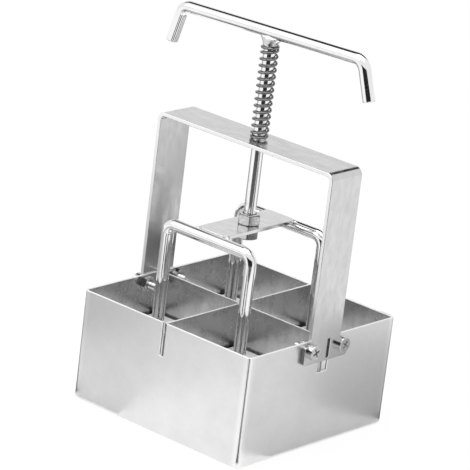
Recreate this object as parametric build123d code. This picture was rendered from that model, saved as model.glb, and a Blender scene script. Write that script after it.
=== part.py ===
from build123d import *
import os
from math import cos, radians, tan

os.makedirs("parts", exist_ok=True)

# Four-cell soil blocker: an open sheet-metal box with crossed dividers, a strap frame bolted over it,
# and a sprung plunger that carries one press plate in each cell.
# Millimetres. The origin is the middle of the box's bottom rim and +Z is up.
# The strap frame, the handle and both ejector bows run along X. "Front" is -Y and "right" is +X.
# The strap frame and the plunger stand a little off the box's middle, and the handle a little askew.

# ---- Driving dimensions ---------------------------------------------------------------------------

# Box, folded from one strip and lapped at the rear right corner
box_side = 106.0
box_height = 55.0
box_sheet = 1.0
box_corner_radius = 2.0
lap_length = 8.0

# Slots in the walls, open at the top, that hold the dividers' end tabs
front_slot_width = 2.4
front_slot_depth = 16.5
front_slot_shift = -0.6
side_notch_width = 6.8
side_notch_depth = 17.4
side_notch_shift = 1.1

# Dividers, half-lapped where they cross
divider_sheet = 1.0
divider_end_gap = 0.1
half_lap_gap = 0.1

# Strap frame
strap_width = 21.6
strap_thickness = 2.0
strap_shift = -1.1
frame_height = 137.9
strap_bend_radius = 4.0
foot_width = 31.6
foot_height = 9.5
foot_drop = 1.5
foot_corner_radius = 1.5
foot_slit_width = 1.9
foot_slit_drop = 0.2
foot_slit_shift = 1.3

# Screws and nuts that hold the strap frame to the box
frame_screw_spacing = 21.2
frame_screw_drop = 4.4
frame_screw_diameter = 4.0
frame_screw_length = 10.0
frame_screw_head_diameter = 7.6
frame_screw_head_height = 2.7
frame_screw_head_rounding = 0.4
frame_nut_width = 7.0
frame_nut_height = 3.2
screw_hole_gap = 0.1

# Plunger
block_depth = 32.3
plate_thickness = 2.0
plate_side_gap = 1.8
plate_corner_radius = 1.5
bow_rod_diameter = 6.0
bow_shift = -1.0
bow_leg_length = 57.8
bow_bend_radius = 5.0
bridge_width = 18.0
bridge_thickness = 1.8
bridge_rise = 0.6
bridge_end_inset = 0.8
bridge_corner_radius = 3.0
push_rod_diameter = 6.0
push_rod_shift = -0.3
push_rod_length = 99.1
push_rod_reach = 0.8
guide_gap = 0.08
rod_nut_width = 10.0
rod_nut_height = 5.2

# Handle
handle_rod_diameter = 6.0
handle_span = 111.2
handle_drop = 18.4
handle_splay = 17.2
handle_tilt = 1.4
handle_bend_radius = 6.0
handle_weld_radius = 6.2
handle_weld_height = 2.9
handle_weld_rise = 1.0

# Return spring
spring_wire = 1.2
spring_open_turns = 13
spring_closed_turns = 1
spring_coil_gap = 0.05
spring_bore_gap = 0.3
spring_seat_gap = 0.05
spring_start = 90

# Dimple screws that hold the press plates and mark the seed hole
dimple_screw_diameter = 4.0
dimple_screw_grip = 7.0
dimple_head_diameter = 8.0
dimple_head_height = 3.4

# Common small values
thread_gap = 0.03
weld_gap = 0.02
rod_end_chamfer = 0.5
recess_width = 0.95
recess_depth = 1.5

# ---- Derived places -------------------------------------------------------------------------------

outer_half = box_side / 2
inner_half = outer_half - box_sheet
cell_width = inner_half - divider_sheet / 2
cell_centre = divider_sheet / 2 + cell_width / 2

frame_outer_half = outer_half + strap_thickness
foot_top = box_height - foot_drop
foot_bottom = foot_top - foot_height
frame_screw_y = frame_screw_spacing / 2
frame_screw_z = box_height - frame_screw_drop
frame_screw_radius = frame_screw_diameter / 2

plate_top = block_depth + plate_thickness
plate_side = cell_width - 2 * plate_side_gap
bow_radius = bow_rod_diameter / 2
bow_axis_z = plate_top + bow_leg_length
bridge_top = bow_axis_z + bow_radius + bridge_rise
bridge_bottom = bridge_top - bridge_thickness
bridge_length = 2 * (cell_centre - bridge_end_inset)

push_rod_radius = push_rod_diameter / 2
push_rod_place = Pos(push_rod_shift, strap_shift)
lower_nut_z = bridge_bottom - rod_nut_height
push_rod_bottom = lower_nut_z - push_rod_reach
push_rod_top = push_rod_bottom + push_rod_length
handle_radius = handle_rod_diameter / 2
handle_z = push_rod_top + handle_radius
handle_weld_bottom = push_rod_top - handle_weld_height

spring_seat = frame_height + spring_seat_gap
spring_length = handle_weld_bottom - spring_seat_gap - spring_seat
spring_radius = push_rod_radius + spring_bore_gap + spring_wire / 2


def save(node, shape):
    shape.label = node
    export_step(shape, f"parts/{node}.step")


# ---- Box ------------------------------------------------------------------------------------------


def rounded_block(side, radius, height):
    return extrude(RectangleRounded(side, side, radius), height)


def wall_slots(width, depth, shift):
    """The slots through the left and right walls, cut down from the rim, and moved aside by shift."""
    return Pos(0, shift, box_height) * Box(2 * box_side, width, 2 * depth)


def corner_lap():
    """The end of the strip, carried round the rear right corner and welded outside the rear wall."""
    outer_radius = box_corner_radius + box_sheet
    lap_start = outer_half - box_corner_radius - lap_length
    corner = outer_half + box_sheet
    sheet = Pos((lap_start + outer_half) / 2, corner / 2) * Rectangle(outer_half - lap_start, corner)
    tip = sheet.vertices().sort_by_distance((outer_half, corner))[0]
    sheet = fillet(tip, outer_radius)
    inside = RectangleRounded(box_side, box_side, box_corner_radius)
    low_half = Rectangle(2 * box_side, box_side, align=(Align.CENTER, Align.MAX))
    return extrude(sheet - inside - Pos(0, outer_half - outer_radius) * low_half, box_height)


def box_shell():
    inner_radius = box_corner_radius - box_sheet / 2
    shell = rounded_block(box_side, box_corner_radius, box_height)
    shell += corner_lap()
    shell -= rounded_block(2 * inner_half, inner_radius, box_height)
    shell -= wall_slots(side_notch_width, side_notch_depth, side_notch_shift)
    shell -= Rot(0, 0, 90) * wall_slots(front_slot_width, front_slot_depth, -front_slot_shift)
    for y in (-frame_screw_y, frame_screw_y):
        hole = Cylinder(frame_screw_radius + screw_hole_gap, 2 * box_side, rotation=(0, 90, 0))
        shell -= Pos(0, y, frame_screw_z) * hole
    return shell


def divider(tab_depth):
    """One divider, standing along X: a panel as high as the box, with a tab through each end wall."""
    panel = Box(2 * (inner_half - divider_end_gap), divider_sheet, box_height,
                align=(Align.CENTER, Align.CENTER, Align.MIN))
    tabs = Box(box_side, divider_sheet, tab_depth, align=(Align.CENTER, Align.CENTER, Align.MAX))
    return panel + Pos(0, 0, box_height) * tabs


def half_lap(from_top):
    """The slot in a divider's middle that takes the other divider."""
    width = divider_sheet + 2 * half_lap_gap
    cut = Box(width, box_side, box_height, align=(Align.CENTER, Align.CENTER, Align.MIN))
    return Pos(0, 0, box_height / 2 if from_top else -box_height / 2) * cut


save("box_shell", box_shell())
save("divider_lengthwise", divider(side_notch_depth) - half_lap(from_top=True))
save("divider_crosswise", Rot(0, 0, 90) * (divider(front_slot_depth) - half_lap(from_top=False)))


# ---- Strap frame ----------------------------------------------------------------------------------


def strap_profile():
    """The strap's side outline: an upside-down U, rounded where the strap is bent."""
    low_centre = (Align.CENTER, Align.MIN)
    outside = Rectangle(2 * frame_outer_half, frame_height - foot_bottom, align=low_centre)
    outside = fillet(outside.vertices().group_by(Axis.Y)[-1], strap_bend_radius)
    inside_height = frame_height - strap_thickness - foot_bottom
    inside = Rectangle(2 * outer_half, inside_height, align=low_centre)
    inside = fillet(inside.vertices().group_by(Axis.Y)[-1], strap_bend_radius - strap_thickness)
    return Pos(0, foot_bottom) * (outside - inside)


def strap_foot():
    """The widened end of one leg."""
    foot = Box(strap_thickness, foot_width, foot_height, align=(Align.MIN, Align.CENTER, Align.MIN))
    return Pos(outer_half, 0, foot_bottom) * fillet(foot.edges().filter_by(Axis.X), foot_corner_radius)


def strap_frame():
    strap = extrude(Plane.XZ * strap_profile(), strap_width / 2, both=True)
    frame = Pos(0, strap_shift) * strap
    frame += [strap_foot(), mirror(strap_foot(), Plane.YZ)]
    slit_top = box_height - foot_slit_drop
    slit = Box(2 * box_side, foot_slit_width, foot_height, align=(Align.CENTER, Align.CENTER, Align.MAX))
    frame -= Pos(0, foot_slit_shift, slit_top) * slit
    for y in (-frame_screw_y, frame_screw_y):
        hole = Cylinder(frame_screw_radius + screw_hole_gap, 2 * box_side, rotation=(0, 90, 0))
        frame -= Pos(0, y, frame_screw_z) * hole
    guide = Pos(0, 0, frame_height) * Cylinder(push_rod_radius + guide_gap, 4 * strap_thickness)
    return frame - push_rod_place * guide


save("strap_frame", strap_frame())


# ---- Fasteners ------------------------------------------------------------------------------------


def turned(points):
    """A solid of revolution about Z from (radius, z) points."""
    return revolve(make_face(Polyline(*[(r, 0, z) for r, z in points], close=True)), Axis.Z)


def hex_nut(width, height, bore_radius, turn=0):
    """A nut standing on z = 0, with both ends chamfered. A corner points along +X turned by turn."""
    corner_radius = width / 2 / cos(radians(30))
    face_radius = 0.96 * width / 2
    chamfer_height = (corner_radius - face_radius) * tan(radians(30))
    barrel = turned([(0, 0), (face_radius, 0), (corner_radius, chamfer_height),
                     (corner_radius, height - chamfer_height), (face_radius, height), (0, height)])
    lead = 0.1 * bore_radius
    bore = turned([(0, 0), (bore_radius + lead, 0), (bore_radius, lead),
                   (bore_radius, height - lead), (bore_radius + lead, height), (0, height)])
    prism = extrude(RegularPolygon(corner_radius, 6, rotation=turn), height)
    return (prism & barrel) - bore


def cross_recess(span, turn):
    """The cross that a driver enters, with its mouth at z = 0."""
    arm = Box(span, recess_width, recess_depth, align=(Align.CENTER, Align.CENTER, Align.MAX))
    return Rot(0, 0, turn) * (arm + Rot(0, 0, 90) * arm)


def pan_screw(turn):
    """A cross-head screw with the underside of its head at z = 0 and its shank down -Z."""
    head = Cylinder(frame_screw_head_diameter / 2, frame_screw_head_height,
                    align=(Align.CENTER, Align.CENTER, Align.MIN))
    head = fillet(head.edges().sort_by(Axis.Z)[-1], frame_screw_head_rounding)
    shank = Cylinder(frame_screw_radius, frame_screw_length,
                     align=(Align.CENTER, Align.CENTER, Align.MAX))
    shank = chamfer(shank.edges().sort_by(Axis.Z)[0], rod_end_chamfer)
    recess = cross_recess(0.6 * frame_screw_head_diameter, turn)
    return head + shank - Pos(0, 0, frame_screw_head_height) * recess


def dimple_screw(turn):
    """A round-head screw, head down: its shank rises from the underside of a press plate at z = 0."""
    radius = dimple_head_diameter / 2
    ball = (radius ** 2 + dimple_head_height ** 2) / (2 * dimple_head_height)
    dome = Pos(0, 0, ball - dimple_head_height) * Sphere(ball)
    dome &= Box(4 * radius, 4 * radius, 4 * radius, align=(Align.CENTER, Align.CENTER, Align.MAX))
    shank = Cylinder(dimple_screw_diameter / 2, plate_thickness + dimple_screw_grip,
                     align=(Align.CENTER, Align.CENTER, Align.MIN))
    shank = chamfer(shank.edges().sort_by(Axis.Z)[-1], rod_end_chamfer)
    recess = Rot(180, 0, 0) * cross_recess(0.5 * dimple_head_diameter, turn)
    return dome + shank - Pos(0, 0, -dimple_head_height) * recess


sides = {"left": -1, "right": 1}
rows = {"front": -1, "rear": 1}
recess_turns = {("right", "front"): 22, ("right", "rear"): 55, ("left", "front"): 70, ("left", "rear"): 8}
nut_turns = {("right", "front"): 12, ("right", "rear"): 40, ("left", "front"): 22, ("left", "rear"): 3}

for side, x_sign in sides.items():
    for row, y_sign in rows.items():
        outward = Rot(0, 90 * x_sign, 0)
        y = y_sign * frame_screw_y
        screw = Pos(x_sign * frame_outer_half, y, frame_screw_z) * outward * pan_screw(recess_turns[side, row])
        nut = hex_nut(frame_nut_width, frame_nut_height, frame_screw_radius + thread_gap,
                      nut_turns[side, row])
        nut_x = x_sign * (inner_half - frame_nut_height)
        save(f"frame_screw_{side}_{row}", screw)
        save(f"frame_nut_{side}_{row}", Pos(nut_x, y, frame_screw_z) * outward * nut)


# ---- Plunger --------------------------------------------------------------------------------------


def press_plate():
    """A plate that fills its cell, with its hole where the bow's foot stands."""
    plate = extrude(RectangleRounded(plate_side, plate_side, plate_corner_radius), plate_thickness)
    hole = Cylinder(dimple_screw_diameter / 2 + screw_hole_gap, 4 * plate_thickness)
    return plate - Pos(bow_shift, strap_shift) * hole


def ejector_bow():
    """A rod bent into an upside-down U. Both feet stand on press plates and are tapped for screws."""
    line = FilletPolyline(
        (-cell_centre, 0, plate_top), (-cell_centre, 0, bow_axis_z),
        (cell_centre, 0, bow_axis_z), (cell_centre, 0, plate_top), radius=bow_bend_radius)
    bow = sweep((line ^ 0) * Circle(bow_radius), path=line)
    tapped = Cylinder(dimple_screw_diameter / 2 + thread_gap, dimple_screw_grip + 1,
                      align=(Align.CENTER, Align.CENTER, Align.MIN))
    for x in (-cell_centre, cell_centre):
        bow -= Pos(x, 0, plate_top) * tapped
    return bow


def bridge_plate():
    """The flat bar between the bows, hollowed under its ends where it is welded onto them."""
    plate = extrude(RectangleRounded(bridge_width, bridge_length, bridge_corner_radius), bridge_thickness)
    plate = Pos(bow_shift, strap_shift, bridge_bottom) * plate
    for y in (strap_shift - cell_centre, strap_shift + cell_centre):
        rod = Cylinder(bow_radius + weld_gap, 2 * box_side, rotation=(0, 90, 0))
        plate -= Pos(0, y, bow_axis_z) * rod
    hole = Pos(0, 0, bridge_top) * Cylinder(push_rod_radius + screw_hole_gap, 4 * bridge_thickness)
    return plate - push_rod_place * hole


def rod_nut(turn):
    return hex_nut(rod_nut_width, rod_nut_height, push_rod_radius + thread_gap, turn)


def push_rod():
    rod = Cylinder(push_rod_radius, push_rod_length, align=(Align.CENTER, Align.CENTER, Align.MIN))
    rod = chamfer(rod.edges().sort_by(Axis.Z)[0], rod_end_chamfer)
    return push_rod_place * Pos(0, 0, push_rod_bottom) * rod


def handle_bar():
    """The grip: a straight bar with splayed ends, and the weld that joins it to the push rod."""
    corner_x = handle_span / 2
    tip_x = corner_x + handle_drop * tan(radians(handle_splay))
    line = FilletPolyline((-tip_x, 0, -handle_drop), (-corner_x, 0, 0),
                          (corner_x, 0, 0), (tip_x, 0, -handle_drop), radius=handle_bend_radius)
    bar = sweep((line ^ 0) * Circle(handle_radius), path=line)
    ends = bar.faces().sort_by(Axis.Z)[:2]
    bar = chamfer([edge for face in ends for edge in face.edges()], rod_end_chamfer)
    bar = Pos(0, 0, handle_z) * Rot(0, -handle_tilt, 0) * bar
    weld_foot = push_rod_radius + 0.2 * (handle_weld_radius - push_rod_radius)
    weld = turned([(0, handle_weld_bottom), (weld_foot, handle_weld_bottom),
                   (handle_weld_radius, push_rod_top + handle_weld_rise),
                   (0, push_rod_top + handle_weld_rise)])
    socket = Cylinder(push_rod_radius + weld_gap, 2 * handle_weld_height,
                      align=(Align.CENTER, Align.CENTER, Align.MAX))
    return push_rod_place * (bar + weld - Pos(0, 0, push_rod_top) * socket)


def coil(turns, height, z):
    return (Pos(0, 0, z) * Helix(height / turns, height, spring_radius)).edges()


def return_spring():
    """A round-wire spring. Its end turns lie against the next ones, so that it stands level."""
    closed_height = spring_closed_turns * (spring_wire + spring_coil_gap)
    open_height = spring_length - spring_wire - 2 * closed_height
    line = Wire([*coil(spring_closed_turns, closed_height, 0),
                 *coil(spring_open_turns, open_height, closed_height),
                 *coil(spring_closed_turns, closed_height, closed_height + open_height)])
    wire = sweep((line ^ 0) * Circle(spring_wire / 2), path=line, is_frenet=True)
    return push_rod_place * Pos(0, 0, spring_seat + spring_wire / 2) * Rot(0, 0, spring_start) * wire


for row, y_sign in rows.items():
    bow_y = strap_shift + y_sign * cell_centre
    save(f"ejector_bow_{row}", Pos(bow_shift, bow_y) * ejector_bow())
    for side, x_sign in sides.items():
        plate_place = Pos(x_sign * cell_centre, y_sign * cell_centre, block_depth)
        screw_place = Pos(bow_shift + x_sign * cell_centre, bow_y, block_depth)
        save(f"press_plate_{row}_{side}", plate_place * press_plate())
        save(f"dimple_screw_{row}_{side}", screw_place * dimple_screw(recess_turns[side, row]))

save("bridge_plate", bridge_plate())
save("push_rod", push_rod())
save("upper_nut", push_rod_place * Pos(0, 0, bridge_top) * rod_nut(turn=12))
save("lower_nut", push_rod_place * Pos(0, 0, lower_nut_z) * rod_nut(turn=9))
save("handle_bar", handle_bar())
save("return_spring", return_spring())
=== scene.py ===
from math import cos, degrees, pi, radians, sin, tan

import bmesh
import bpy
from mathutils import Matrix, Quaternion, Vector


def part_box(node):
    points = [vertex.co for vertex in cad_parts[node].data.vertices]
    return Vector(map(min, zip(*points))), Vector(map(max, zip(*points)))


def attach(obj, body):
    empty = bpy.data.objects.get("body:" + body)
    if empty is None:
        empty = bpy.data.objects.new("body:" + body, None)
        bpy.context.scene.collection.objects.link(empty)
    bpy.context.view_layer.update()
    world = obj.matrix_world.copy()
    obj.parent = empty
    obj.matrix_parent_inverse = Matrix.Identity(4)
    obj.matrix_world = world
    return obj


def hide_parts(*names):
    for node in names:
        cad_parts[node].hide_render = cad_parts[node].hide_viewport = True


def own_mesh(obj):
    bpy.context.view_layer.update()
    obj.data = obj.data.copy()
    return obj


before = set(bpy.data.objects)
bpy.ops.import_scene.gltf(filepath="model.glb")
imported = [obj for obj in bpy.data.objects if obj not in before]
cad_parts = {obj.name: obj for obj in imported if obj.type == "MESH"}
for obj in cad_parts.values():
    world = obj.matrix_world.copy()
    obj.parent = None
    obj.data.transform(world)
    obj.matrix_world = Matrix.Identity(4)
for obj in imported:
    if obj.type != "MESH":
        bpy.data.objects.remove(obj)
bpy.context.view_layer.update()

mm = 0.001

# ---- Box ------------------------------------------------------------------------------------------
# The box is one strip of zinc-coated sheet steel, folded at four corners. Its end wraps round the
# rear right corner and is spot-welded outside the rear wall. The rim and the slots are sheared.

merge_distance = 0.001 * mm
flat_side_ratio = 6


def joined_copy(node):
    """A copy of a CAD solid, with every flat side made one face. A side that is much larger than
    the face beside it keeps its own shading."""
    shape = bmesh.new()
    shape.from_mesh(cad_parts[node].data)
    bmesh.ops.remove_doubles(shape, verts=shape.verts, dist=merge_distance)
    bmesh.ops.dissolve_limit(shape, angle_limit=radians(0.2), verts=shape.verts, edges=shape.edges)
    for edge in shape.edges:
        areas = sorted(face.calc_area() for face in edge.link_faces)
        if areas[-1] > flat_side_ratio * areas[0]:
            edge.smooth = False
    return shape


def make_piece(name, shape, body, slot, *materials, stands_for=()):
    """Turns a finished bmesh into a piece of the object that rides on a body."""
    mesh = bpy.data.meshes.new(name)
    shape.to_mesh(mesh)
    shape.free()
    for material in materials:
        mesh.materials.append(material)
    mesh.polygons.foreach_set("use_smooth", [True] * len(mesh.polygons))
    flat_borders = [edge.use_edge_sharp for edge in mesh.edges]
    mesh.set_sharp_from_angle(angle=radians(35))
    for edge, sharp in zip(mesh.edges, flat_borders):
        edge.use_edge_sharp = edge.use_edge_sharp or sharp
    piece = bpy.data.objects.new(name, mesh)
    bpy.context.scene.collection.objects.link(piece)
    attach(piece, body)
    if stands_for:
        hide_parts(*stands_for)
    return piece


def round_edges(piece, radius, edge_material=-1):
    """Rolls every sharp edge over. The rounded strip may have a material of its own."""
    bevel = piece.modifiers.new("rounded_edges", "BEVEL")
    bevel.width = radius
    bevel.segments = 3
    bevel.limit_method = "ANGLE"
    bevel.angle_limit = radians(30)
    bevel.use_clamp_overlap = False
    bevel.harden_normals = True
    bevel.material = edge_material


def bare_metal(name, grey, roughness, metallic=1):
    """A plain metal material to build on. Returns it with its node tree and its shader."""
    material = bpy.data.materials.new(name)
    material.use_nodes = True
    tree = material.node_tree
    shader = tree.nodes["Principled BSDF"]
    shader.inputs["Base Color"].default_value = (grey, grey, grey, 1)
    shader.inputs["Metallic"].default_value = metallic
    shader.inputs["Roughness"].default_value = roughness
    return material, tree, shader


def patches(tree, size, stretch=(1, 1, 1), detail=3, roughness=0.5):
    """A cloudy pattern from 0 to 1 whose patches are about size across, stretched along the axes."""
    place = tree.nodes.new("ShaderNodeTexCoord")
    turn = tree.nodes.new("ShaderNodeMapping")
    turn.inputs["Scale"].default_value = [1 / length for length in stretch]
    noise = tree.nodes.new("ShaderNodeTexNoise")
    noise.inputs["Scale"].default_value = 1 / size
    noise.inputs["Detail"].default_value = detail
    noise.inputs["Roughness"].default_value = roughness
    tree.links.new(place.outputs["Object"], turn.inputs["Vector"])
    tree.links.new(turn.outputs["Vector"], noise.inputs["Vector"])
    return noise.outputs["Fac"]


def crystals(tree, size):
    """A value from 0 to 1 for each crystal of a zinc coat, with crystals about size across."""
    place = tree.nodes.new("ShaderNodeTexCoord")
    cells = tree.nodes.new("ShaderNodeTexVoronoi")
    cells.inputs["Scale"].default_value = 1 / size
    split = tree.nodes.new("ShaderNodeSeparateColor")
    tree.links.new(place.outputs["Object"], cells.inputs["Vector"])
    tree.links.new(cells.outputs["Color"], split.inputs["Color"])
    return split.outputs["Red"]


def blend_of(tree, first, second, share):
    """Mixes two patterns. share is how much of the second shows."""
    mix = tree.nodes.new("ShaderNodeMix")
    mix.inputs["Factor"].default_value = share
    tree.links.new(first, mix.inputs["A"])
    tree.links.new(second, mix.inputs["B"])
    return mix.outputs["Result"]


def spread(tree, pattern, low, high, start=0.3, end=0.7):
    """Stretches the pattern's range from start to end over the values from low to high."""
    scale = tree.nodes.new("ShaderNodeMapRange")
    scale.inputs["From Min"].default_value = start
    scale.inputs["From Max"].default_value = end
    scale.inputs["To Min"].default_value = low
    scale.inputs["To Max"].default_value = high
    tree.links.new(pattern, scale.inputs["Value"])
    return scale.outputs["Result"]


def shade(tree, shader, pattern, low, high):
    """Lets the pattern set the grey of the metal, from low to high."""
    grey = tree.nodes.new("ShaderNodeCombineColor")
    level = spread(tree, pattern, low, high)
    for channel in ("Red", "Green", "Blue"):
        tree.links.new(level, grey.inputs[channel])
    tree.links.new(grey.outputs["Color"], shader.inputs["Base Color"])


def raise_by(tree, shader, pattern, height):
    """Adds the pattern to the surface as relief, height from its lowest to its highest."""
    bump = tree.nodes.new("ShaderNodeBump")
    bump.inputs["Distance"].default_value = height
    tree.links.new(pattern, bump.inputs["Height"])
    if shader.inputs["Normal"].is_linked:
        tree.links.new(shader.inputs["Normal"].links[0].from_socket, bump.inputs["Normal"])
    tree.links.new(bump.outputs["Normal"], shader.inputs["Normal"])


def zinc_sheet(name, grey, roughness, metallic=1):
    """Zinc-coated sheet: faint soft clouds and crystals, a fine grain and a slight waviness."""
    material, tree, shader = bare_metal(name, grey, roughness, metallic)
    clouds = patches(tree, size=14 * mm, detail=5, roughness=0.55)
    spangle = blend_of(tree, clouds, crystals(tree, size=2.2 * mm), share=0.1)
    shade(tree, shader, spangle, low=grey * 0.96, high=grey * 1.03)
    sheen = spread(tree, spangle, low=roughness * 1.12, high=roughness * 0.9)
    tree.links.new(sheen, shader.inputs["Roughness"])
    raise_by(tree, shader, patches(tree, size=45 * mm, detail=0), height=0.08 * mm)
    raise_by(tree, shader, patches(tree, size=0.6 * mm, detail=2), height=0.0012 * mm)
    return material


def paint_fold_highlight(material, start, end, grey):
    """Paints a highlight into the sheet's colour along the box's folds, where the sum of |x| and |y|
    nears its largest.
    """
    tree = material.node_tree
    shader = tree.nodes["Principled BSDF"]
    place = tree.nodes.new("ShaderNodeTexCoord")
    split = tree.nodes.new("ShaderNodeSeparateXYZ")
    total = tree.nodes.new("ShaderNodeMath")
    tree.links.new(place.outputs["Object"], split.inputs["Vector"])
    for axis, entry in (("X", 0), ("Y", 1)):
        size = tree.nodes.new("ShaderNodeMath")
        size.operation = "ABSOLUTE"
        tree.links.new(split.outputs[axis], size.inputs[0])
        tree.links.new(size.outputs["Value"], total.inputs[entry])
    highlighted = tree.nodes.new("ShaderNodeMix")
    highlighted.data_type = "RGBA"
    highlighted.inputs["B"].default_value = (grey, grey, grey, 1)
    highlight_share = spread(tree, total.outputs["Value"], low=0, high=1, start=start, end=end)
    tree.links.new(highlight_share, highlighted.inputs["Factor"])
    tree.links.new(shader.inputs["Base Color"].links[0].from_socket, highlighted.inputs["A"])
    tree.links.new(highlighted.outputs["Result"], shader.inputs["Base Color"])


def worn_sheet(name, grey, roughness):
    """The same sheet where soil rubs it: duller, with plain clouds and small bright scuffs."""
    material, tree, shader = bare_metal(name, grey, roughness)
    clouds = patches(tree, size=6 * mm, stretch=(1, 1, 2.5), detail=6, roughness=0.62)
    spangle = blend_of(tree, clouds, crystals(tree, size=1.6 * mm), share=0.12)
    shade(tree, shader, spangle, low=grey * 0.88, high=grey * 1.12)
    sheen = spread(tree, spangle, low=roughness * 1.1, high=roughness * 0.85)
    tree.links.new(sheen, shader.inputs["Roughness"])
    raise_by(tree, shader, patches(tree, size=30 * mm, detail=1), height=0.05 * mm)
    raise_by(tree, shader, patches(tree, size=0.5 * mm, detail=2), height=0.002 * mm)
    return material


def cut_edge(name, grey, roughness, metallic=1):
    """The sheared edge of sheet or bar, with fine drag lines across it."""
    material, tree, shader = bare_metal(name, grey, roughness, metallic)
    drag_lines = patches(tree, size=0.2 * mm, stretch=(1, 1, 8), detail=2)
    raise_by(tree, shader, drag_lines, height=0.01 * mm)
    return material


box_low, box_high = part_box("box_shell")
wall_reach = box_high.x
rim_height = box_high.z
sheet_roll = 0.3 * mm
slot_reach = 6 * mm
box_zinc = zinc_sheet("box_zinc", grey=0.85, roughness=0.32)
# The box's inner faces and the dividers' sides take a darker copy of the sheet: its lower grey is painted
# shade, and its clouds and scuffs are wear.
shaded_inside_zinc = worn_sheet("shaded_inside_zinc", grey=0.55, roughness=0.27)
# The sheared edges are bare cut steel with drag lines, set near white and half matt: a painted highlight
# on the rims, the dividers' tops and the plates' edges.
sheared_zinc_highlight = cut_edge("sheared_zinc_highlight", grey=0.95, roughness=0.45, metallic=0.5)
# The slots' faces are set near black: painted shade inside the slots.
slot_shade = cut_edge("slot_shade", grey=0.22, roughness=0.6)
box_materials = [box_zinc, sheared_zinc_highlight, shaded_inside_zinc, slot_shade]

# At a fold |x| + |y| is about twice the wall's distance. The painted highlight along the folds begins a
# few millimetres before that and is full just short of it.
fold_sum = 2 * wall_reach
highlight_start = 4.5 * mm
highlight_full = 1.5 * mm
paint_fold_highlight(box_zinc, start=fold_sum - highlight_start, end=fold_sum - highlight_full, grey=0.98)
shape = joined_copy("box_shell")
# Faces in the slots take the slot's painted shade, and the walls' inner faces take the darker inside
# sheet, painted shade.
for face in shape.faces:
    middle = face.calc_center_median()
    outward = face.normal.x * middle.x + face.normal.y * middle.y
    crosswise = min(abs(middle.x), abs(middle.y))
    upright = abs(face.normal.z) <= 0.5
    if upright and crosswise < slot_reach and abs(outward) < slot_reach:
        face.material_index = box_materials.index(slot_shade)
    elif upright and outward < -0.5 * wall_reach:
        face.material_index = box_materials.index(shaded_inside_zinc)
box = make_piece("box_sheet", shape, "frame", "galvanised_sheet", *box_materials,
                 stands_for=["box_shell"])
round_edges(box, sheet_roll, edge_material=box_materials.index(sheared_zinc_highlight))

# The lap's spot welds show as low raised rings, in a row down the lap.
lap_face = box_high.y
lap_left = 44.5 * mm
spot_radius = 2.0 * mm
spot_ring = 0.25 * mm
spot_flatness = 0.4


def ring_shape(radius, thickness, sides=40, around=10):
    """A thin round ring, lying flat."""
    shape = bmesh.new()
    bmesh.ops.create_circle(shape, radius=thickness, segments=around)
    bmesh.ops.rotate(shape, verts=shape.verts, cent=(0, 0, 0), matrix=Matrix.Rotation(pi / 2, 3, "X"))
    bmesh.ops.translate(shape, verts=shape.verts, vec=(radius, 0, 0))
    bmesh.ops.spin(shape, geom=shape.verts[:] + shape.edges[:], cent=(0, 0, 0), axis=(0, 0, 1),
                   angle=2 * pi, steps=sides, use_merge=True)
    bmesh.ops.recalc_face_normals(shape, faces=shape.faces)
    return shape


for row, share in (("low", 0.2), ("middle", 0.5), ("high", 0.8)):
    ring = ring_shape(spot_radius, spot_ring)
    bmesh.ops.scale(ring, vec=(1, 1, spot_flatness), verts=ring.verts)
    bmesh.ops.rotate(ring, verts=ring.verts, cent=(0, 0, 0), matrix=Matrix.Rotation(pi / 2, 3, "X"))
    place = (lap_left + spot_radius, lap_face, share * rim_height)
    bmesh.ops.translate(ring, verts=ring.verts, vec=place)
    make_piece(f"spot_weld_{row}", ring, "frame", "galvanised_sheet", box_zinc)

# ---- Dividers -------------------------------------------------------------------------------------
# Two sheet panels, half-lapped where they cross, make the four cells. Their end tabs lie in the
# walls' slots, where a short weld holds the front one and the rear one.

divider_roll = 0.2 * mm
tab_reach = wall_reach - 3 * mm
divider_materials = [sheared_zinc_highlight, slot_shade, shaded_inside_zinc]
# A panel's top takes the near-white sheared finish, a painted highlight. Its tab ends take the slot's
# painted shade, and its sides the darker inside sheet, painted shade.
for name in ("divider_lengthwise", "divider_crosswise"):
    shape = joined_copy(name)
    for face in shape.faces:
        middle = face.calc_center_median()
        finish = shaded_inside_zinc
        if face.normal.z > 0.5:
            finish = sheared_zinc_highlight
        elif max(abs(middle.x), abs(middle.y)) > tab_reach:
            finish = slot_shade
        face.material_index = divider_materials.index(finish)
    panel = make_piece(f"{name}_sheet", shape, "frame", "divider_sheet", *divider_materials,
                       stands_for=[name])
    round_edges(panel, divider_roll)


def weld_metal(name):
    """Solidified weld metal: bright, uneven, with fine ripples."""
    material, tree, shader = bare_metal(name, grey=0.72, roughness=0.24)
    clouds = patches(tree, size=1.2 * mm, detail=3)
    tree.links.new(spread(tree, clouds, low=0.16, high=0.4), shader.inputs["Roughness"])
    raise_by(tree, shader, clouds, height=0.12 * mm)
    return material


def bead(length, width, height, lumps=3):
    """A short weld bead along X: a row of overlapping flattened drops, smaller at its ends."""
    drop_reach = 0.75
    end_loss = 0.35
    shape = bmesh.new()
    for lump in range(lumps):
        along = (lump + 0.5) / lumps - 0.5
        swell = 1 - end_loss * abs(along) * 2
        size = (drop_reach * length / lumps, width / 2 * swell, height / 2 * swell)
        drop = bmesh.ops.create_uvsphere(shape, u_segments=20, v_segments=12, radius=1)["verts"]
        bmesh.ops.scale(shape, verts=drop, vec=size)
        bmesh.ops.translate(shape, verts=drop, vec=(along * length, 0, 0))
    return shape


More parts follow.
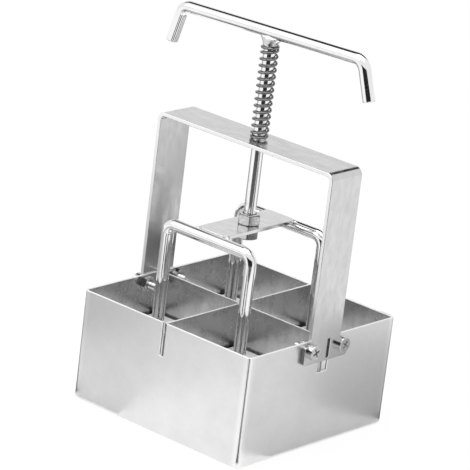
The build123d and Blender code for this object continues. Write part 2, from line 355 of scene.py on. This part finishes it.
tack_metal = weld_metal("tack_metal")
front_wall = box_low.y
tab_weld_size = (3.4 * mm, 1.5 * mm, 0.9 * mm)
tab_weld_shift = -0.2 * mm
tab_weld_drop = 4.8 * mm
for side, y in (("front", front_wall), ("rear", -front_wall)):
    tack = bead(*tab_weld_size)
    bmesh.ops.rotate(tack, verts=tack.verts, cent=(0, 0, 0), matrix=Matrix.Rotation(pi / 2, 3, "Y"))
    place = (tab_weld_shift, y, rim_height - tab_weld_drop)
    bmesh.ops.translate(tack, verts=tack.verts, vec=place)
    make_piece(f"tab_weld_{side}", tack, "frame", "divider_sheet", tack_metal)

# ---- Strap frame ----------------------------------------------------------------------------------
# A flat steel strap bent into an upside-down U. Its feet are widened and slit, and the push rod
# runs through a plain hole in its top.


def bright_bar(name, grey, roughness):
    """Bright flat bar: nearly smooth, with soft clouds, faint lines and small scuffs."""
    material, tree, shader = bare_metal(name, grey, roughness)
    clouds = patches(tree, size=4 * mm, stretch=(2, 1, 2), detail=6, roughness=0.6)
    shade(tree, shader, clouds, low=grey * 0.93, high=grey * 1.06)
    sheen = spread(tree, clouds, low=roughness * 1.35, high=roughness * 0.75)
    tree.links.new(sheen, shader.inputs["Roughness"])
    raise_by(tree, shader, patches(tree, size=35 * mm, detail=0), height=0.03 * mm)
    faint_lines = patches(tree, size=0.5 * mm, stretch=(8, 1, 8), detail=2)
    raise_by(tree, shader, faint_lines, height=0.0015 * mm)
    return material


strap_roll = 0.3 * mm
strap_steel = bright_bar("strap_steel", grey=0.67, roughness=0.19)
# The bar's narrow sides are a copy of its steel set near white: a painted highlight.
bar_edge_highlight = cut_edge("bar_edge_highlight", grey=0.95, roughness=0.3)
# The feet's narrow sides are the same edge set dark: painted shade.
foot_edge_shade = cut_edge("foot_edge_shade", grey=0.3, roughness=0.5)
strap_materials = [strap_steel, bar_edge_highlight, foot_edge_shade]
shape = joined_copy("strap_frame")
# The narrow sides facing along Y take the painted highlight above the rim and the painted shade below it.
for face in shape.faces:
    if abs(face.normal.y) > 0.9:
        finish = foot_edge_shade if face.calc_center_median().z < rim_height else bar_edge_highlight
        face.material_index = strap_materials.index(finish)
strap = make_piece("strap_bar", shape, "frame", "strap_steel", *strap_materials,
                   stands_for=["strap_frame"])
round_edges(strap, strap_roll)

# ---- Frame screws and nuts ------------------------------------------------------------------------
# Four cross-head pan screws run inward through the strap's feet and the walls, each into a
# hexagon nut. Screws and nuts are bright zinc plated.


def zinc_plate(name, grey, roughness):
    """Bright zinc plating on small turned parts: smooth, with a faint cloudiness."""
    material, tree, shader = bare_metal(name, grey, roughness)
    clouds = patches(tree, size=1.5 * mm, detail=3)
    shade(tree, shader, clouds, low=grey * 0.85, high=grey * 1.08)
    sheen = spread(tree, clouds, low=roughness * 1.4, high=roughness * 0.7)
    tree.links.new(sheen, shader.inputs["Roughness"])
    raise_by(tree, shader, patches(tree, size=0.3 * mm, detail=2), height=0.004 * mm)
    return material


def edges_of(geometry):
    """The edges among the elements that a bmesh operator gives back."""
    return [element for element in geometry if isinstance(element, bmesh.types.BMEdge)]


def cut_off(shape, place, outward):
    """Cuts a shape with a plane through place, drops what lies outward of it and closes the cut."""
    cut = bmesh.ops.bisect_plane(shape, geom=shape.verts[:] + shape.edges[:] + shape.faces[:],
                                 plane_co=place, plane_no=outward, clear_outer=True)
    bmesh.ops.contextual_create(shape, geom=edges_of(cut["geom_cut"]))


def threaded_shank(radius, pitch, length):
    """A screw thread round the Z axis from 0 down to -length, closed at both ends."""
    steps = 28
    spare_turns = 3
    turns = int(length / pitch) + spare_turns
    depth = 0.61 * pitch
    root = radius - depth
    shape = bmesh.new()
    profile = [(root, 0), (radius, 3 / 8 * pitch), (radius, 4 / 8 * pitch), (root, 7 / 8 * pitch),
               (root, pitch)]
    row = [shape.verts.new((r, 0, z - length - pitch)) for r, z in profile]
    for low, high in zip(row, row[1:]):
        shape.edges.new((low, high))
    bmesh.ops.spin(shape, geom=shape.verts[:] + shape.edges[:], cent=(0, 0, 0), axis=(0, 0, 1),
                   dvec=(0, 0, pitch / steps), angle=2 * pi * turns, steps=steps * turns)
    bmesh.ops.remove_doubles(shape, verts=shape.verts, dist=merge_distance)
    cut_off(shape, (0, 0, 0), (0, 0, 1))
    cut_off(shape, (0, 0, -length), (0, 0, -1))
    bmesh.ops.recalc_face_normals(shape, faces=shape.faces)
    return shape


def add_shape(shape, other):
    """Puts one bmesh into another."""
    mesh = bpy.data.meshes.new("added")
    other.to_mesh(mesh)
    other.free()
    shape.from_mesh(mesh)
    bpy.data.meshes.remove(mesh)


def screw_with_thread(node, seat, outward, radius, pitch, length):
    """The CAD screw's head, with a real thread in place of its plain shank."""
    shape = joined_copy(node)
    cut_off(shape, seat, -outward)
    shank = threaded_shank(radius, pitch, length)
    turn = outward.to_track_quat("Z", "Y").to_matrix()
    bmesh.ops.rotate(shank, verts=shank.verts, cent=(0, 0, 0), matrix=turn)
    bmesh.ops.translate(shank, verts=shank.verts, vec=seat)
    add_shape(shape, shank)
    return shape


fastener_zinc = zinc_plate("fastener_zinc", grey=0.66, roughness=0.14)
# The nuts' rounded edges are set near black: a painted dark reflection.
fastener_dark_reflection = cut_edge("fastener_dark_reflection", grey=0.18, roughness=0.4)
wall_nut_roll = 0.16 * mm
small_screw_radius = 2.0 * mm
small_screw_pitch = 0.7 * mm
small_screw_length = 10.0 * mm
strap_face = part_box("strap_frame")[1].x
# Each wall nut's rounded edges take the painted dark reflection.
for side, sign in (("left", -1), ("right", 1)):
    for row in ("front", "rear"):
        low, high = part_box(f"frame_screw_{side}_{row}")
        middle = (low + high) / 2
        seat = Vector((sign * strap_face, middle.y, middle.z))
        shape = screw_with_thread(f"frame_screw_{side}_{row}", seat, Vector((sign, 0, 0)),
                                  small_screw_radius, small_screw_pitch, small_screw_length)
        make_piece(f"pan_screw_{side}_{row}", shape, "frame", "zinc_fastener", fastener_zinc,
                   stands_for=[f"frame_screw_{side}_{row}"])
        nut = make_piece(f"wall_nut_{side}_{row}", joined_copy(f"frame_nut_{side}_{row}"), "frame",
                         "zinc_fastener", fastener_zinc, fastener_dark_reflection,
                         stands_for=[f"frame_nut_{side}_{row}"])
        round_edges(nut, wall_nut_roll, edge_material=1)

# ---- Push rod -------------------------------------------------------------------------------------
# A drawn round rod, bright plated, that slides through the strap's top. Its lower end is
# threaded for the two nuts that clamp the bridge plate.


def plated_rod(name, grey, roughness):
    """Bright plated rod: mirror smooth, with faint clouds and a slight waviness of the plating."""
    material, tree, shader = bare_metal(name, grey, roughness)
    clouds = patches(tree, size=4 * mm, stretch=(1, 1, 3), detail=3)
    shade(tree, shader, clouds, low=grey * 0.95, high=grey * 1.03)
    sheen = spread(tree, clouds, low=roughness * 1.4, high=roughness * 0.6)
    tree.links.new(sheen, shader.inputs["Roughness"])
    raise_by(tree, shader, patches(tree, size=9 * mm, detail=1), height=0.005 * mm)
    return material


def start_rod(shape, place, heading, radius, sides=48):
    """The first end of a rod: a ring of edges round place, square to heading."""
    turn = Vector(heading).to_track_quat("Z", "Y").to_matrix()
    ring = bmesh.ops.create_circle(shape, radius=radius, segments=sides)["verts"]
    bmesh.ops.rotate(shape, verts=ring, cent=(0, 0, 0), matrix=turn)
    bmesh.ops.translate(shape, verts=ring, vec=place)
    return list({edge for vert in ring for edge in vert.link_edges})


def verts_of(ring):
    """The vertices of a ring of edges, each of them once."""
    return list({vert for edge in ring for vert in edge.verts})


def run_straight(shape, ring, vector):
    """Draws the rod out straight from a ring of edges, and returns the ring it ends in."""
    grown = bmesh.ops.extrude_edge_only(shape, edges=ring)["geom"]
    moved = [element for element in grown if isinstance(element, bmesh.types.BMVert)]
    bmesh.ops.translate(shape, verts=moved, vec=vector)
    return [edge for edge in edges_of(grown) if all(vert in moved for vert in edge.verts)]


def run_bend(shape, ring, centre, axis, angle):
    """Bends the rod on from a ring of edges, and returns the ring it ends in."""
    fewest_steps = 6
    degrees_per_step = 5
    steps = max(fewest_steps, int(abs(degrees(angle)) / degrees_per_step))
    turned = bmesh.ops.spin(shape, geom=verts_of(ring) + ring, cent=centre, axis=axis, angle=angle,
                            steps=steps)
    return edges_of(turned["geom_last"])


def close_rod(shape, chamfer):
    """Caps a rod's two ends and takes the sharp edge off them. The rod's side keeps its own shading."""
    rims = [edge for edge in shape.edges if edge.is_boundary]
    bmesh.ops.holes_fill(shape, edges=rims, sides=0)
    bmesh.ops.recalc_face_normals(shape, faces=shape.faces)
    bevel = bmesh.ops.bevel(shape, geom=rims, offset=chamfer, segments=3, profile=0.5, affect="EDGES",
                            material=-1)
    rolled = set(bevel["faces"])
    for edge in shape.edges:
        if len(rolled.intersection(edge.link_faces)) == 1:
            edge.smooth = False


rod_chrome = plated_rod("rod_chrome", grey=0.92, roughness=0.08)
rod_radius = 3.0 * mm
push_rod_chamfer = 0.3 * mm
rod_low, rod_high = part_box("push_rod")
rod_axis = Vector(((rod_low.x + rod_high.x) / 2, (rod_low.y + rod_high.y) / 2, 0))
thread_length = 12.6 * mm
rod_pitch = 1.0 * mm
shape = bmesh.new()
ring = start_rod(shape, (0, 0, rod_low.z + thread_length), (0, 0, 1), rod_radius)
run_straight(shape, ring, (0, 0, rod_high.z - rod_low.z - thread_length))
close_rod(shape, push_rod_chamfer)
thread = threaded_shank(rod_radius, rod_pitch, thread_length)
bmesh.ops.translate(thread, verts=thread.verts, vec=(0, 0, rod_low.z + thread_length))
add_shape(shape, thread)
bmesh.ops.translate(shape, verts=shape.verts, vec=rod_axis)
make_piece("push_rod_threaded", shape, "plunger", "plated_rod", rod_chrome, stands_for=["push_rod"])

# ---- Return spring --------------------------------------------------------------------------------
# A round-wire compression spring, wound right-handed, between the strap's top and the weld under
# the handle. Its end turns lie close against their neighbours.

# The spring's plating is set far darker than the rod's: a painted dark reflection.
spring_painted_dark = plated_rod("spring_painted_dark", grey=0.22, roughness=0.12)
spring_low, spring_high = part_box("return_spring")
wire_radius = 0.6 * mm
wire_chamfer = 0.1 * mm
coil_radius = (spring_high.x - spring_low.x) / 2 - wire_radius
closed_turns = 1
open_turns = 13
closed_gap = 0.05 * mm
closed_pitch = 2 * wire_radius + closed_gap
wire_start = spring_low.z + wire_radius
wire_end = spring_high.z - wire_radius
open_pitch = (wire_end - wire_start - 2 * closed_turns * closed_pitch) / open_turns
spring_start = radians(90)


def wind(shape, ring, turns, pitch, steps=40):
    """Winds the wire on round the Z axis, and returns the ring it ends in."""
    wound = bmesh.ops.spin(shape, geom=verts_of(ring) + ring, cent=(0, 0, 0), axis=(0, 0, 1),
                           dvec=(0, 0, pitch / steps), angle=2 * pi * turns, steps=steps * turns)
    return edges_of(wound["geom_last"])


shape = bmesh.new()
ring = start_rod(shape, (coil_radius, 0, wire_start), (0, 1, 0), wire_radius, sides=16)
ring = wind(shape, ring, closed_turns, closed_pitch)
ring = wind(shape, ring, open_turns, open_pitch)
wind(shape, ring, closed_turns, closed_pitch)
close_rod(shape, wire_chamfer)
bmesh.ops.rotate(shape, verts=shape.verts, cent=(0, 0, 0), matrix=Matrix.Rotation(spring_start, 3, "Z"))
bmesh.ops.translate(shape, verts=shape.verts, vec=rod_axis)
spring = make_piece("spring_coil", shape, "frame", "spring_wire", spring_painted_dark,
                    stands_for=["return_spring"])
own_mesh(spring)

# ---- Handle bar -----------------------------------------------------------------------------------
# The grip is a rod of the same plated stock with its ends splayed down and cut square. A fillet
# weld holds it across the top of the push rod.

handle_z = rod_high.z + rod_radius
handle_splay = radians(17.2)
handle_tilt = radians(1.4)
handle_bend = 6.0 * mm
handle_drop = 18.4 * mm
handle_corner = 55.6 * mm
handle_chamfer = 0.5 * mm
bend_turn = pi / 2 - handle_splay
setback = handle_bend * tan(bend_turn / 2)
arm = handle_drop / cos(handle_splay) - setback
arm_heading = Vector((sin(handle_splay), 0, cos(handle_splay)))
shape = bmesh.new()
tip = Vector((-handle_corner, 0, 0)) - arm_heading * (arm + setback)
ring = start_rod(shape, tip, arm_heading, rod_radius)
ring = run_straight(shape, ring, arm_heading * arm)
ring = run_bend(shape, ring, (-handle_corner + setback, 0, -handle_bend), (0, 1, 0), bend_turn)
ring = run_straight(shape, ring, (2 * (handle_corner - setback), 0, 0))
ring = run_bend(shape, ring, (handle_corner - setback, 0, -handle_bend), (0, 1, 0), bend_turn)
run_straight(shape, ring, Vector((sin(handle_splay), 0, -cos(handle_splay))) * arm)
close_rod(shape, handle_chamfer)
bmesh.ops.rotate(shape, verts=shape.verts, cent=(0, 0, 0), matrix=Matrix.Rotation(-handle_tilt, 3, "Y"))
bmesh.ops.translate(shape, verts=shape.verts, vec=rod_axis + Vector((0, 0, handle_z)))
make_piece("handle_rod", shape, "plunger", "plated_rod", rod_chrome, stands_for=["handle_bar"])

# The weld grows out of the rod's top and flares along the handle.
weld_drop = 2.9 * mm
weld_height = 4.3 * mm
weld_rings = 8
weld_foot = 3.7 * mm
weld_reach = 7.6 * mm
weld_side = 2.9 * mm
weld_flare = 1.6
weld_chamfer = 0.1 * mm
shape = bmesh.new()
ring = start_rod(shape, (0, 0, rod_high.z - weld_drop), (0, 0, 1), rod_radius, sides=40)
for step in range(weld_rings + 1):
    flare = (step / weld_rings) ** weld_flare
    rise = weld_height / weld_rings if step else 0
    ring = run_straight(shape, ring, (0, 0, rise))
    wide = weld_foot + (weld_reach - weld_foot) * flare
    deep = weld_foot + (weld_side - weld_foot) * flare
    for vert in verts_of(ring):
        around = Vector((vert.co.x, vert.co.y)).normalized()
        vert.co.x, vert.co.y = around.x * wide, around.y * deep
close_rod(shape, weld_chamfer)
bmesh.ops.translate(shape, verts=shape.verts, vec=rod_axis)
make_piece("handle_weld", shape, "plunger", "plated_rod", tack_metal)

# ---- Ejector bows ---------------------------------------------------------------------------------
# Two rods bent into upside-down Us. Each foot is drilled and tapped from below, and stands on
# one of the press plates.

bow_bend = 5.0 * mm
bow_chamfer = 0.2 * mm
for row in ("front", "rear"):
    low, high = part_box(f"ejector_bow_{row}")
    left = low.x + rod_radius
    right = high.x - rod_radius
    y = (low.y + high.y) / 2
    bar_z = high.z - rod_radius
    rise = bar_z - bow_bend - low.z
    shape = bmesh.new()
    ring = start_rod(shape, (left, y, low.z), (0, 0, 1), rod_radius)
    ring = run_straight(shape, ring, (0, 0, rise))
    ring = run_bend(shape, ring, (left + bow_bend, y, bar_z - bow_bend), (0, 1, 0), pi / 2)
    ring = run_straight(shape, ring, (right - left - 2 * bow_bend, 0, 0))
    ring = run_bend(shape, ring, (right - bow_bend, y, bar_z - bow_bend), (0, 1, 0), pi / 2)
    run_straight(shape, ring, (0, 0, -rise))
    close_rod(shape, bow_chamfer)
    make_piece(f"bow_rod_{row}", shape, "plunger", "plated_rod", rod_chrome,
               stands_for=[f"ejector_bow_{row}"])

# ---- Bridge plate ---------------------------------------------------------------------------------
# A short flat bar lies across the two bows and is tack-welded to them at its corners. The push
# rod passes through its middle.

bridge_roll = 0.2 * mm
bridge_steel = bright_bar("bridge_steel", grey=0.72, roughness=0.16)
bridge = make_piece("bridge_bar", joined_copy("bridge_plate"), "plunger", "bridge_steel",
                    bridge_steel, stands_for=["bridge_plate"])
round_edges(bridge, bridge_roll)
bridge_low, bridge_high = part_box("bridge_plate")
bridge_tack_size = (4.5 * mm, 2.6 * mm, 1.7 * mm)
bridge_tack_slant = radians(35)
tack_from_end = 2.0 * mm
tack_from_side = 0.8 * mm
tack_drop = 1.0 * mm
bridge_ends = (("front", bridge_low.y + tack_from_end, 1), ("rear", bridge_high.y - tack_from_end, -1))
bridge_sides = (("left", bridge_low.x + tack_from_side, 1), ("right", bridge_high.x - tack_from_side, -1))
for row, y, end in bridge_ends:
    for side, x, across in bridge_sides:
        tack = bead(*bridge_tack_size)
        slant = Matrix.Rotation(bridge_tack_slant * across * end, 3, "Z")
        bmesh.ops.rotate(tack, verts=tack.verts, cent=(0, 0, 0), matrix=slant)
        bmesh.ops.translate(tack, verts=tack.verts, vec=(x, y, bridge_high.z - tack_drop))
        make_piece(f"bridge_tack_{row}_{side}", tack, "plunger", "bridge_steel", tack_metal)

# ---- Rod nuts -------------------------------------------------------------------------------------
# Two hexagon nuts on the push rod's thread clamp the bridge plate between them. They are zinc
# plated like the small ones.

# Their rounded edges take the painted dark reflection as well.
rod_nut_roll = 0.2 * mm
for name in ("upper_nut", "lower_nut"):
    nut = make_piece(f"{name}_hexagon", joined_copy(name), "plunger", "zinc_fastener", fastener_zinc,
                     fastener_dark_reflection, stands_for=[name])
    round_edges(nut, rod_nut_roll, edge_material=1)

# ---- Press plates and dimple screws ---------------------------------------------------------------
# A square sheet plate, with room all round it, is held under each foot of the bows by a
# round-head screw from below, whose head leaves the dimple for the seed.

plate_roll = 0.2 * mm
plate_zinc = zinc_sheet("plate_zinc", grey=0.95, roughness=0.5, metallic=0.25)
dimple_screw_length = 9.0 * mm
# Each plate's rounded edges take the sheared finish with its painted highlight.
for row in ("front", "rear"):
    for side in ("left", "right"):
        plate_node = f"press_plate_{row}_{side}"
        plate = make_piece(f"cell_plate_{row}_{side}", joined_copy(plate_node), "plunger",
                           "plate_steel", plate_zinc, sheared_zinc_highlight, stands_for=[plate_node])
        round_edges(plate, plate_roll, edge_material=1)
        screw_node = f"dimple_screw_{row}_{side}"
        low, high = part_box(screw_node)
        seat = Vector(((low.x + high.x) / 2, (low.y + high.y) / 2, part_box(plate_node)[0].z))
        shape = screw_with_thread(screw_node, seat, Vector((0, 0, -1)), small_screw_radius,
                                  small_screw_pitch, dimple_screw_length)
        make_piece(f"round_screw_{row}_{side}", shape, "plunger", "zinc_fastener", fastener_zinc,
                   stands_for=[screw_node])

# ---- Studio ---------------------------------------------------------------------------------------
# A plain white floor under soft light. Everything in this section is outside the object.

scene = bpy.context.scene
scene.view_settings.view_transform = "Standard"
camera_place = Vector((0.94196, -1.15766, 0.58237))
camera_heading = Vector((-0.602456, 0.733791, -0.314002))
camera_roll = radians(6.986)
focal_length_px = 3302.5
picture_px = 470
sensor_width = 36

camera = bpy.data.cameras.new("camera")
camera.sensor_width = sensor_width
camera.lens = focal_length_px / picture_px * sensor_width
camera.clip_start = 0.05
camera_object = bpy.data.objects.new("camera", camera)
camera_object.location = camera_place
camera_object.rotation_mode = "QUATERNION"
camera_aim = camera_heading.to_track_quat("-Z", "Y")
camera_object.rotation_quaternion = camera_aim @ Quaternion((0, 0, 1), camera_roll)
scene.collection.objects.link(camera_object)
scene.camera = camera_object

world = bpy.data.worlds.new("white_room")
world.use_nodes = True
world.node_tree.nodes["Background"].inputs["Color"].default_value = (1, 1, 1, 1)
world.node_tree.nodes["Background"].inputs["Strength"].default_value = 0.9
scene.world = world

floor_reach = 6
floor_grey = 0.9
glow_share = 0.9


def floor_material():
    """White, and shown as white to the camera and in the metal, but still darkened by shadow."""
    material = bpy.data.materials.new("floor_white")
    material.use_nodes = True
    tree = material.node_tree
    tree.nodes.remove(tree.nodes["Principled BSDF"])
    matt = tree.nodes.new("ShaderNodeBsdfDiffuse")
    matt.inputs["Color"].default_value = (floor_grey, floor_grey, floor_grey, 1)
    glow = tree.nodes.new("ShaderNodeEmission")
    glow.inputs["Color"].default_value = (1, 1, 1, 1)
    rays = tree.nodes.new("ShaderNodeLightPath")
    seen = tree.nodes.new("ShaderNodeMath")
    seen.operation = "MAXIMUM"
    share = tree.nodes.new("ShaderNodeMath")
    share.operation = "MULTIPLY"
    share.inputs[1].default_value = glow_share
    mix = tree.nodes.new("ShaderNodeMixShader")
    tree.links.new(rays.outputs["Is Camera Ray"], seen.inputs[0])
    tree.links.new(rays.outputs["Is Glossy Ray"], seen.inputs[1])
    tree.links.new(seen.outputs["Value"], share.inputs[0])
    tree.links.new(share.outputs["Value"], mix.inputs["Fac"])
    tree.links.new(matt.outputs["BSDF"], mix.inputs[1])
    tree.links.new(glow.outputs["Emission"], mix.inputs[2])
    tree.links.new(mix.outputs["Shader"], tree.nodes["Material Output"].inputs["Surface"])
    return material


def stage_sheet(name, size, material):
    """A flat square sheet that lies at the origin and reaches size to each side. It is no part of
    the object."""
    shape = bmesh.new()
    bmesh.ops.create_grid(shape, x_segments=1, y_segments=1, size=size)
    mesh = bpy.data.meshes.new(name)
    shape.to_mesh(mesh)
    shape.free()
    mesh.materials.append(material)
    sheet = bpy.data.objects.new(name, mesh)
    scene.collection.objects.link(sheet)
    return sheet


stage_sheet("floor", floor_reach, floor_material())

# Cards that only the metal's reflections show. They give it its dark stripes and its shading.


def card_material(name, grey):
    """A matt card of one grey."""
    material = bpy.data.materials.new(name)
    material.use_nodes = True
    shader = material.node_tree.nodes["Principled BSDF"]
    shader.inputs["Base Color"].default_value = (grey, grey, grey, 1)
    shader.inputs["Roughness"].default_value = 1
    shader.inputs["Specular IOR Level"].default_value = 0
    return material


def card(name, material, *corners):
    """A card with these four corners in metres, in turn. Only reflections show it."""
    sheet = stage_sheet(name, 1, material)
    order = {(-1, -1): 0, (1, -1): 1, (1, 1): 2, (-1, 1): 3}
    for vert in sheet.data.vertices:
        vert.co = corners[order[round(vert.co.x), round(vert.co.y)]]
    sheet.visible_camera = False
    sheet.visible_diffuse = False
    sheet.visible_shadow = False
    sheet.visible_transmission = False
    sheet.visible_volume_scatter = False


def lying_card(name, material, height, start, azimuth, near, far, near_half, far_half):
    """A tapering card just above the floor that points away from a starting place."""
    outward = Vector((cos(radians(azimuth)), sin(radians(azimuth)), 0))
    across = Vector((-outward.y, outward.x, 0))
    start = Vector((*start, height))
    near_end = start + outward * near
    far_end = start + outward * far
    card(name, material, near_end - across * near_half, far_end - across * far_half,
         far_end + across * far_half, near_end + across * near_half)


def standing_card(name, material, azimuth, distance, low, high, half):
    """An upright card that faces the object."""
    outward = Vector((cos(radians(azimuth)), sin(radians(azimuth)), 0))
    across = Vector((-outward.y, outward.x, 0)) * half
    low = outward * distance + Vector((0, 0, low))
    high = outward * distance + Vector((0, 0, high))
    card(name, material, low - across, low + across, high + across, high - across)


card_black = card_material("card_black", grey=0.02)
card_dark = card_material("card_dark", grey=0.08)
card_grey = card_material("card_grey", grey=0.35)
card_pale = card_material("card_pale", grey=0.6)
centre = (0, 0)
front_corner = (0.054, -0.054)
under_box = 0.0515

# Each row has a card's name and material, its starting place, the azimuth it points to in degrees,
# where it starts and ends along that way, and half its width there, in metres.
lying_cards = (
    ("card_under_box", card_black, centre, 0, -under_box, under_box, under_box, under_box),
    ("card_right", card_pale, (0.03, -0.01), 50, 0.0, 0.19, 0.085, 0.14),
    ("card_left", card_pale, (-0.06, -0.10), -130, 0.0, 0.13, 0.09, 0.12),
    ("card_front_left", card_pale, (-0.05, -0.03), -130, 0.0, 0.24, 0.035, 0.12),
    ("card_rear_left", card_grey, centre, 180, 0.21, 0.75, 0.14, 0.30),
    ("card_rear_right", card_grey, centre, 84, 0.24, 0.75, 0.14, 0.32),
    ("card_left_end", card_grey, (-0.06, -0.04), -130, 0.09, 0.26, 0.045, 0.08),
    ("card_right_end", card_grey, (0.06, 0.05), 66, 0.0, 0.13, 0.03, 0.06),
    ("card_left_fold", card_dark, (-0.054, -0.054), -170, 0.0, 0.15, 0.004, 0.045),
    ("card_right_fold", card_dark, (0.054, 0.054), 98, 0.0, 0.15, 0.004, 0.06),
    ("card_left_arm", card_dark, (0.034, -0.224), -70, -0.03, 0.06, 0.03, 0.04),
    ("card_far", card_black, centre, -52, 0.42, 1.0, 0.31, 0.78),
    ("card_near", card_dark, centre, -51, 0.28, 0.43, 0.20, 0.31),
    ("card_middle", card_dark, front_corner, -50.6, 0.15, 0.21, 0.02, 0.03),
    ("card_corner", card_dark, front_corner, -50.6, 0.0, 0.15, 0.003, 0.05),
)

# Each card lies a little above the one before it, so that no two share a plane.
card_step = 0.05
for place, (name, material, *outline) in enumerate(lying_cards):
    lying_card(name, material, (1 + card_step * place) * mm, *outline)
standing_card("card_front", card_black, azimuth=-52, distance=1.0, low=0.0, high=0.50, half=0.82)
standing_card("card_back", card_black, azimuth=129, distance=0.55, low=0.50, high=1.5, half=0.6)

lamp_target = 0.08


def soft_box(name, place, size, power):
    """A large square lamp aimed at the middle of the object."""
    lamp = bpy.data.lights.new(name, "AREA")
    lamp.shape = "SQUARE"
    lamp.size = size
    lamp.energy = power
    lamp_object = bpy.data.objects.new(name, lamp)
    lamp_object.location = place
    aim = Vector((0, 0, lamp_target)) - Vector(place)
    lamp_object.rotation_mode = "QUATERNION"
    lamp_object.rotation_quaternion = aim.to_track_quat("-Z", "Y")
    scene.collection.objects.link(lamp_object)


soft_box("key_light", place=(-0.7, -1.0, 1.2), size=1.3, power=6)
soft_box("top_light", place=(0.1, -0.1, 1.2), size=0.8, power=6)
